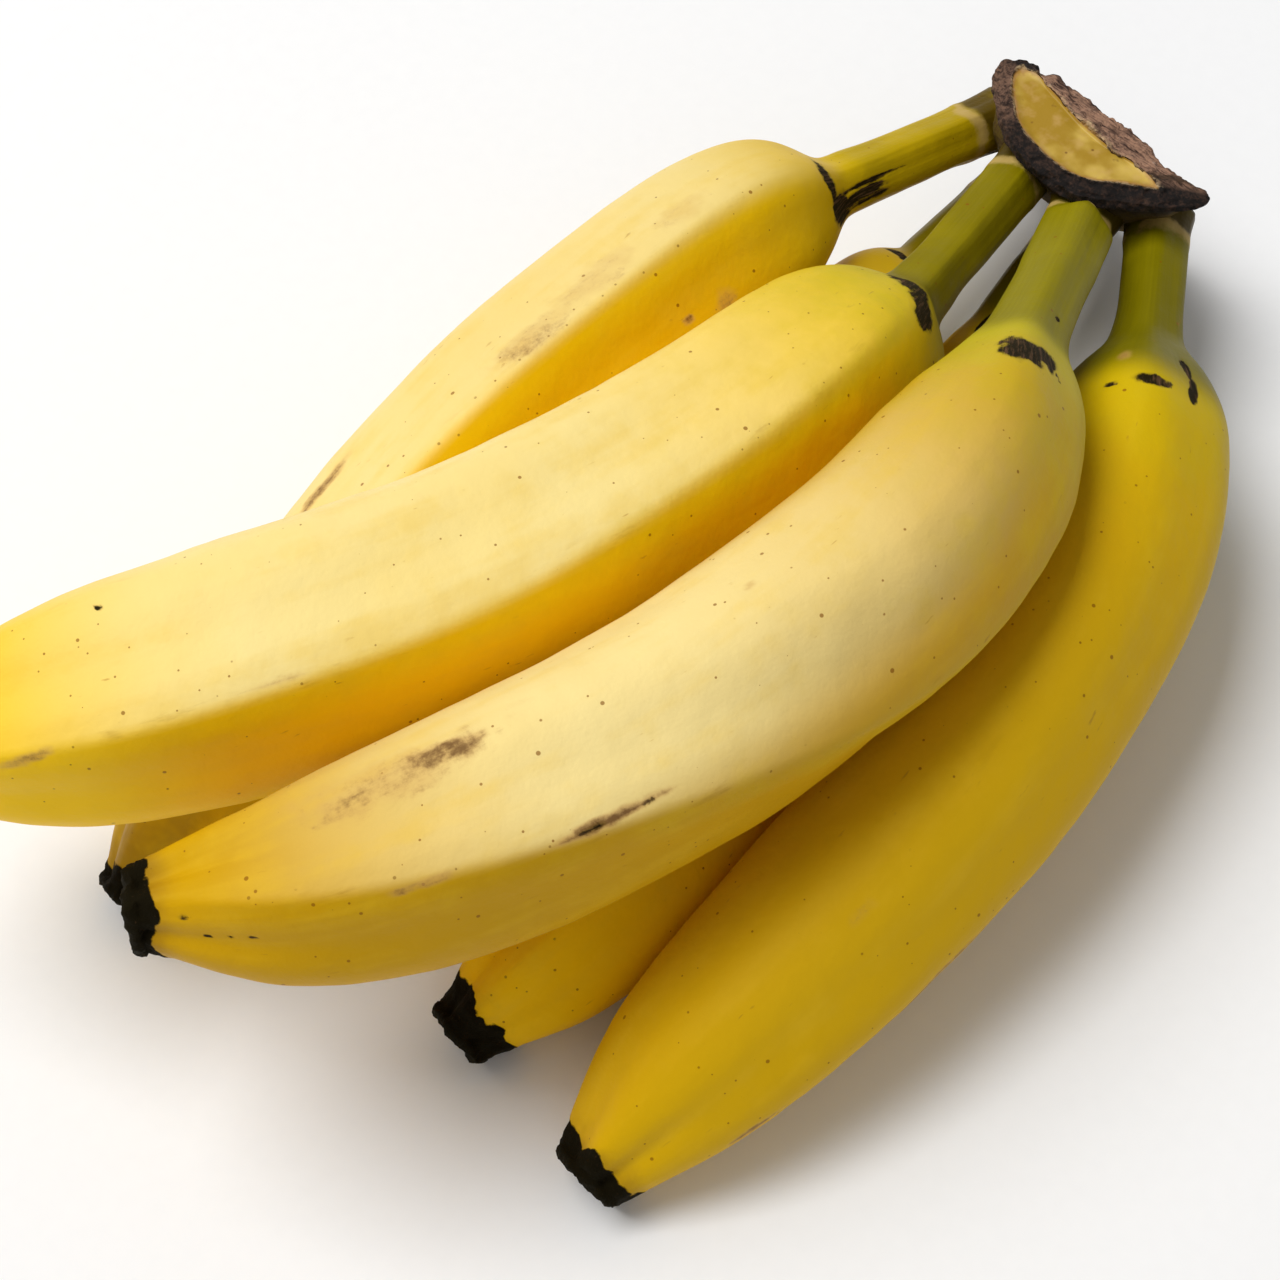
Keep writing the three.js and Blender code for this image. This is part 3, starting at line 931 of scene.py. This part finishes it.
def packed_level(height, low, high, rim):
    """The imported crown's outline at a height, matched to the points of the rim."""
    down = high[2] - height
    t = down / (high[2] - low[2])
    cut_x = high[0] - 9.5 * (1 - t)
    centre_y = 0.5 * (low[1] + high[1]) - 2.2 + 8.5 * t
    bulge = 14.5 + 1.2 * np.sin(math.pi * np.minimum(1.0, t * 1.6)) - 5.5 * t**3
    half = 20.3 - 4.5 * t**2.5
    middle = rim.mean(axis=0)
    way = unit(rim - middle)
    turn = np.arctan2(-way[:, 1] / half, way[:, 0] / bulge)
    reach = np.cos(turn)
    out = np.where(reach > 0, 0.8 * np.abs(reach) ** 0.6, -bulge * np.abs(reach) ** 0.85)
    return softened(np.stack([cut_x + out, centre_y - half * np.sin(turn)], axis=-1), 5)


def softened(ring, reach):
    """A closed ring of points with its corners rounded over about reach points."""
    waves = np.fft.fft(ring, axis=0)
    count = np.fft.fftfreq(len(ring), 1 / len(ring))[:, None]
    fade = np.exp(-0.5 * (2 * math.pi * count * reach / len(ring)) ** 2)
    return np.fft.ifft(waves * fade, axis=0).real


def side_rings(bottom, lip_low, rim, cut, out, low, high):
    """Rings of the underside and of the sides, up to the lip, as (outline, height)."""
    base = packed_level(bottom + FOOT, low, high, rim)
    centre = base.mean(axis=0)
    for share in (0.12, 0.3, 0.5, 0.68, 0.82, 0.92, 0.98):
        yield centre + (base - centre) * share, bottom + FOOT * (1 - math.sqrt(1 - share**2))
    under_lip = rim - 1.3 * out * (1 - cut)[:, None]
    for share in np.linspace(0, 1, 38):
        height = bottom + FOOT + (lip_low - 0.5 - bottom - FOOT) * share
        side = packed_level(height, low, high, rim)
        rise = smooth(lip_low - 7, lip_low, height)[:, None]
        yield side + (under_lip - side) * rise, height


def lip_rings(top, lip_low, face, rim, drop, cut, out):
    """Rings of the lip, which bulges out over the stalks, and over the rim to the waxy face."""
    for share in np.linspace(0, 1, 13):
        height = lip_low + (top - drop - 0.25 - lip_low) * share
        bulge = -1.0 + 1.9 * math.sin(math.pi * min(share, 0.5)) - 0.5 * max(0, share - 0.5)
        yield rim + out * (bulge * (1 - cut))[:, None], height
    for share in np.linspace(0, 1, 17):
        round_over = 0.35 * (1 - math.sqrt(max(0, 1 - (1 - min(1, share * 3)) ** 2)))
        sink = drop * (1 - share) ** 1.2
        edge = 0.3 * bell(share - 0.9, 0.1)
        yield rim + (face - rim) * share, top - sink - round_over + edge - 0.1


def face_rings(top, face):
    """Rings of the waxy face, from its edge to its middle."""
    centre = face.mean(axis=0) + np.array([0.5, 1.0])
    for share in (0.97, 0.93, 0.87, 0.79, 0.7, 0.6, 0.5, 0.4, 0.3, 0.2, 0.11, 0.04):
        dip = 0.55 * smooth(1.0, 0.8, share) - 0.35 * (1 - share)
        yield centre + (face - centre) * share, top - 0.1 - dip


def build_crown():
    low, high = (np.array(corner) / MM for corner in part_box("crown"))
    top, bottom = high[2], low[2]
    middle = 0.5 * (low[:2] + high[:2])
    faces, rims, drops = (np.array(column) for column in zip(*CROWN_TOP))
    face = middle + closed_curve(faces, CROWN_AROUND)
    rim = middle + closed_curve(rims, CROWN_AROUND)
    drop = closed_curve(drops, CROWN_AROUND)
    station = np.arange(CROWN_AROUND) * len(CROWN_TOP) / CROWN_AROUND
    cut_from, cut_to = CUT_STATIONS
    cut = smooth(cut_from - 0.4, cut_from + 0.4, station)
    cut *= 1 - smooth(cut_to - 0.3, cut_to + 0.3, station)
    out = unit(np.stack([np.gradient(rim[:, 1]), -np.gradient(rim[:, 0])], axis=-1))
    if ((rim - rim.mean(axis=0)) * out).sum() < 0:
        out = -out
    to_point = np.minimum(station, len(CROWN_TOP) - station)
    lip_low = top - LIP_HEIGHT + 1.9 * bell(to_point, 1.6)

    groups = [
        list(side_rings(bottom, lip_low, rim, cut, out, low, high)),
        list(lip_rings(top, lip_low, face, rim, drop, cut, out)),
        list(face_rings(top, face)),
    ]
    points = np.array(
        [
            np.column_stack([flat, np.broadcast_to(height, CROWN_AROUND)])
            for group in groups
            for flat, height in group
        ]
    )
    # Which group each ring is in, as a number for each of its points.
    counts = [len(group) for group in groups]
    rind, lip, waxy = (np.repeat(row, counts)[:, None] + 0 * points[..., 0] for row in np.eye(3))
    cut = (1 - waxy) * cut

    # Torn flesh on the lip and the cut side, and strands on the cut side.
    torn = np.maximum(lip, cut)
    strands = noise(points * np.array([1.0, 0.14, 1.0]), 0.9, CROWN_SEED)
    rough = layered(points, 2.6, CROWN_SEED + 1)
    grit = noise(points, 0.8, CROWN_SEED + 2)
    dents = noise(points, 7, CROWN_SEED + 4)
    lift = torn * (0.32 * rough + 0.24 * grit) + 0.3 * strands * cut
    lift += 0.3 * rough * rind + 0.7 * dents * cut
    outward = np.concatenate([out, np.zeros((CROWN_AROUND, 1))], axis=-1)
    points = points + (lift * (1 - waxy))[..., None] * outward
    points[..., 2] += torn * (0.2 * rough + 0.14 * grit) + 0.28 * strands * cut
    points[..., 2] += 0.22 * noise(points, 6, CROWN_SEED + 3) * waxy

    from_ends = np.minimum(np.abs(station - cut_from - 0.2), np.abs(station - cut_to + 0.2))
    at_foot = 1 - smooth(FOOT, FOOT + 3, points[..., 2] - bottom)
    past_edge = (np.arange(len(points)) - (counts[0] + counts[1]))[:, None] + 0 * waxy
    attributes = {
        "face": waxy,
        "lip": lip * (1 - cut),
        "cut": cut,
        "edge": bell(past_edge + 1, 1.1),
        "border": np.maximum(bell(from_ends, 0.5), at_foot) * cut,
        "rim": fading(past_edge, 2.4),
        "below": np.clip((top - points[..., 2]) / 12, 0, 1),
        "head": smooth(8.6, 9.6, station) * smooth(13.2, 11.4, station) + 0 * waxy,
    }
    return grid_mesh("crown_skin", points, attributes)


def waxy_colour(n, place, patch, fine):
    """The crown's waxy face: olive and tan, browner at its edge, with brown spots."""
    cloud = n.noise(place, 9, 3, 0.6, 3.0)
    colour = n.mix(n.step(cloud, 0.38, 0.62), linear((166, 130, 30)), linear((212, 180, 84)))
    colour = n.paint(colour, n.step(patch, 0.48, 0.7), 0.5, (204, 164, 100))
    near_edge = n.math("ADD", n.attribute("rim"), n.swing(fine, 0.8))
    colour = n.paint(colour, n.step(near_edge, 0.45, 0.95), 0.7, (158, 106, 50))
    spots = n.math("MAXIMUM", dots(n, place, 3.4, 0.2, 0.35), n.step(patch, 0.38, 0.3))
    return n.paint(colour, spots, 0.6, (92, 52, 10))


def fibrous_colour(n, strands, torn, fine):
    """The crown's cut side: brown strands with pale flecks, darker lower down and at its border."""
    colour = n.mix(n.step(strands, 0.34, 0.56), linear((52, 32, 26)), linear((178, 136, 110)))
    colour = n.paint(colour, n.step(fine, 0.58, 0.76), 0.6, (216, 190, 172))
    colour = n.paint(colour, n.step(torn, 0.5, 0.62), 0.6, (58, 36, 28))
    lower = n.math("ADD", n.attribute("below"), n.swing(torn, 0.3))
    colour = n.paint(colour, n.step(lower, 0.2, 0.34), 0.7, (40, 25, 20))
    border = n.math("ADD", n.attribute("border"), n.swing(torn, 1.4))
    return n.paint(colour, n.step(border, 0.35, 0.8), 0.85, (52, 36, 20))


def rind_colour(n, fine):
    """The crown's rind, darkened as painted shade just under the lip, and its black lip, which is browner
    at the round head.
    """
    rind = n.mix(n.step(fine, 0.4, 0.7), linear((96, 78, 20)), linear((72, 50, 20)))
    # Painted shade: the rind turns dark brown just under the overhanging lip.
    rind = n.mix(n.step(n.attribute("below"), 0.75, 0.35), rind, linear((28, 17, 10)))
    lip = n.mix(n.step(fine, 0.42, 0.8), linear((15, 9, 7)), linear((74, 52, 40)))
    head = n.mix(n.step(fine, 0.35, 0.65), linear((40, 26, 20)), linear((122, 92, 74)))
    lip = n.mix(n.attribute("head"), lip, head)
    return n.mix(n.attribute("lip"), rind, lip)


def crown_material():
    n = Nodes("crown_rind")
    place = n.place()
    patch = n.noise(place, 4, 3, 0.6, 6.0)
    fine = n.noise(place, 0.9, 4, 0.7, 4.0)
    strands = n.noise(n.stretched(place, (1, 0.12, 1)), 0.45, 4, 0.7, 5.0)
    torn = n.noise(place, 3.2, 4, 0.7, 7.0)
    face, cut = n.attribute("face"), n.attribute("cut")

    colour = n.mix(cut, rind_colour(n, fine), fibrous_colour(n, strands, torn, fine))
    colour = n.mix(face, colour, waxy_colour(n, place, patch, fine))
    flecks = n.math("MULTIPLY", n.attribute("edge"), n.step(fine, 0.42, 0.6))
    colour = n.paint(colour, flecks, 0.8, (214, 184, 140))
    n.set(n.shader.inputs["Base Color"], colour)
    n.set(n.shader.inputs["Roughness"], n.math("SUBTRACT", 0.85, n.math("MULTIPLY", face, 0.4)))
    n.shader.inputs["Specular IOR Level"].default_value = 0.3
    rugged = n.math("SUBTRACT", 1.0, n.math("MULTIPLY", face, 0.9))
    normal = n.bump(n.math("MULTIPLY", strands, cut), 0.8, 0.8)
    normal = n.bump(n.math("MULTIPLY", fine, rugged), 0.7, 0.6, normal)
    n.set(n.shader.inputs["Normal"], normal)
    return n.material


# ---------------------------------------------------------------------------------------------
# The bunch

for node, look in BANANAS.items():
    banana = build_banana(node, look)
    banana.data.materials.append(peel_material(node, look))
    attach(banana, "root")
    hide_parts(node)

crown = build_crown()
crown.data.materials.append(crown_material())
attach(crown, "root")
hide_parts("crown")


# ---------------------------------------------------------------------------------------------
# Floor, light and camera

AZIMUTH, ELEVATION = math.radians(-49), math.radians(58)
DISTANCE = 0.45
TARGET = Vector((-0.02, 0.0, 0.03))  # what the camera and the lights point at, in metres
FLOOR_HALF = 12.0  # metres, so that its far edge stays out of low views
FLOOR_DROP = 0.0005  # metres, a hair under the fruit


def floor_material():
    n = Nodes("pale_floor")
    grain = n.noise(n.place(), 3, 2, 0.5)
    n.set(n.shader.inputs["Base Color"], n.mix(grain, (0.93, 0.93, 0.93, 1), (0.96, 0.96, 0.96, 1)))
    n.shader.inputs["Roughness"].default_value = 0.9
    return n.material


def add_floor():
    mesh = bpy.data.meshes.new("floor")
    corners = [(x * FLOOR_HALF, y * FLOOR_HALF, 0) for x, y in ((-1, -1), (1, -1), (1, 1), (-1, 1))]
    mesh.from_pydata(corners, [], [(0, 1, 2, 3)])
    made = bpy.data.objects.new("floor", mesh)
    made.location.z = -FLOOR_DROP
    bpy.context.scene.collection.objects.link(made)
    mesh.materials.append(floor_material())


def add_area_light(name, place, size, power):
    data = bpy.data.lights.new(name, "AREA")
    data.size = size
    data.energy = power
    made = bpy.data.objects.new(name, data)
    made.location = place
    made.rotation_euler = (TARGET - Vector(place)).to_track_quat("-Z", "Y").to_euler()
    bpy.context.scene.collection.objects.link(made)


def add_camera():
    level = math.cos(ELEVATION)
    back = Vector((math.sin(AZIMUTH) * level, -math.cos(AZIMUTH) * level, math.sin(ELEVATION)))
    data = bpy.data.cameras.new("camera")
    data.lens = 84
    data.sensor_width = 36
    data.clip_start = 0.01
    made = bpy.data.objects.new("camera", data)
    made.location = TARGET + DISTANCE * back
    made.rotation_euler = (-back).to_track_quat("-Z", "Y").to_euler()
    bpy.context.scene.collection.objects.link(made)
    bpy.context.scene.camera = made


add_floor()
add_camera()
add_area_light("key", (-0.5, 1.1, 2.4), 1.7, 65)
add_area_light("fill", (-1.6, -1.2, 1.6), 1.6, 3)

world = bpy.data.worlds.new("studio")
world.use_nodes = True
background = world.node_tree.nodes["Background"]
background.inputs["Color"].default_value = (1, 1, 1, 1)
background.inputs["Strength"].default_value = 0.27
bpy.context.scene.world = world
bpy.context.scene.view_settings.view_transform = "Standard"
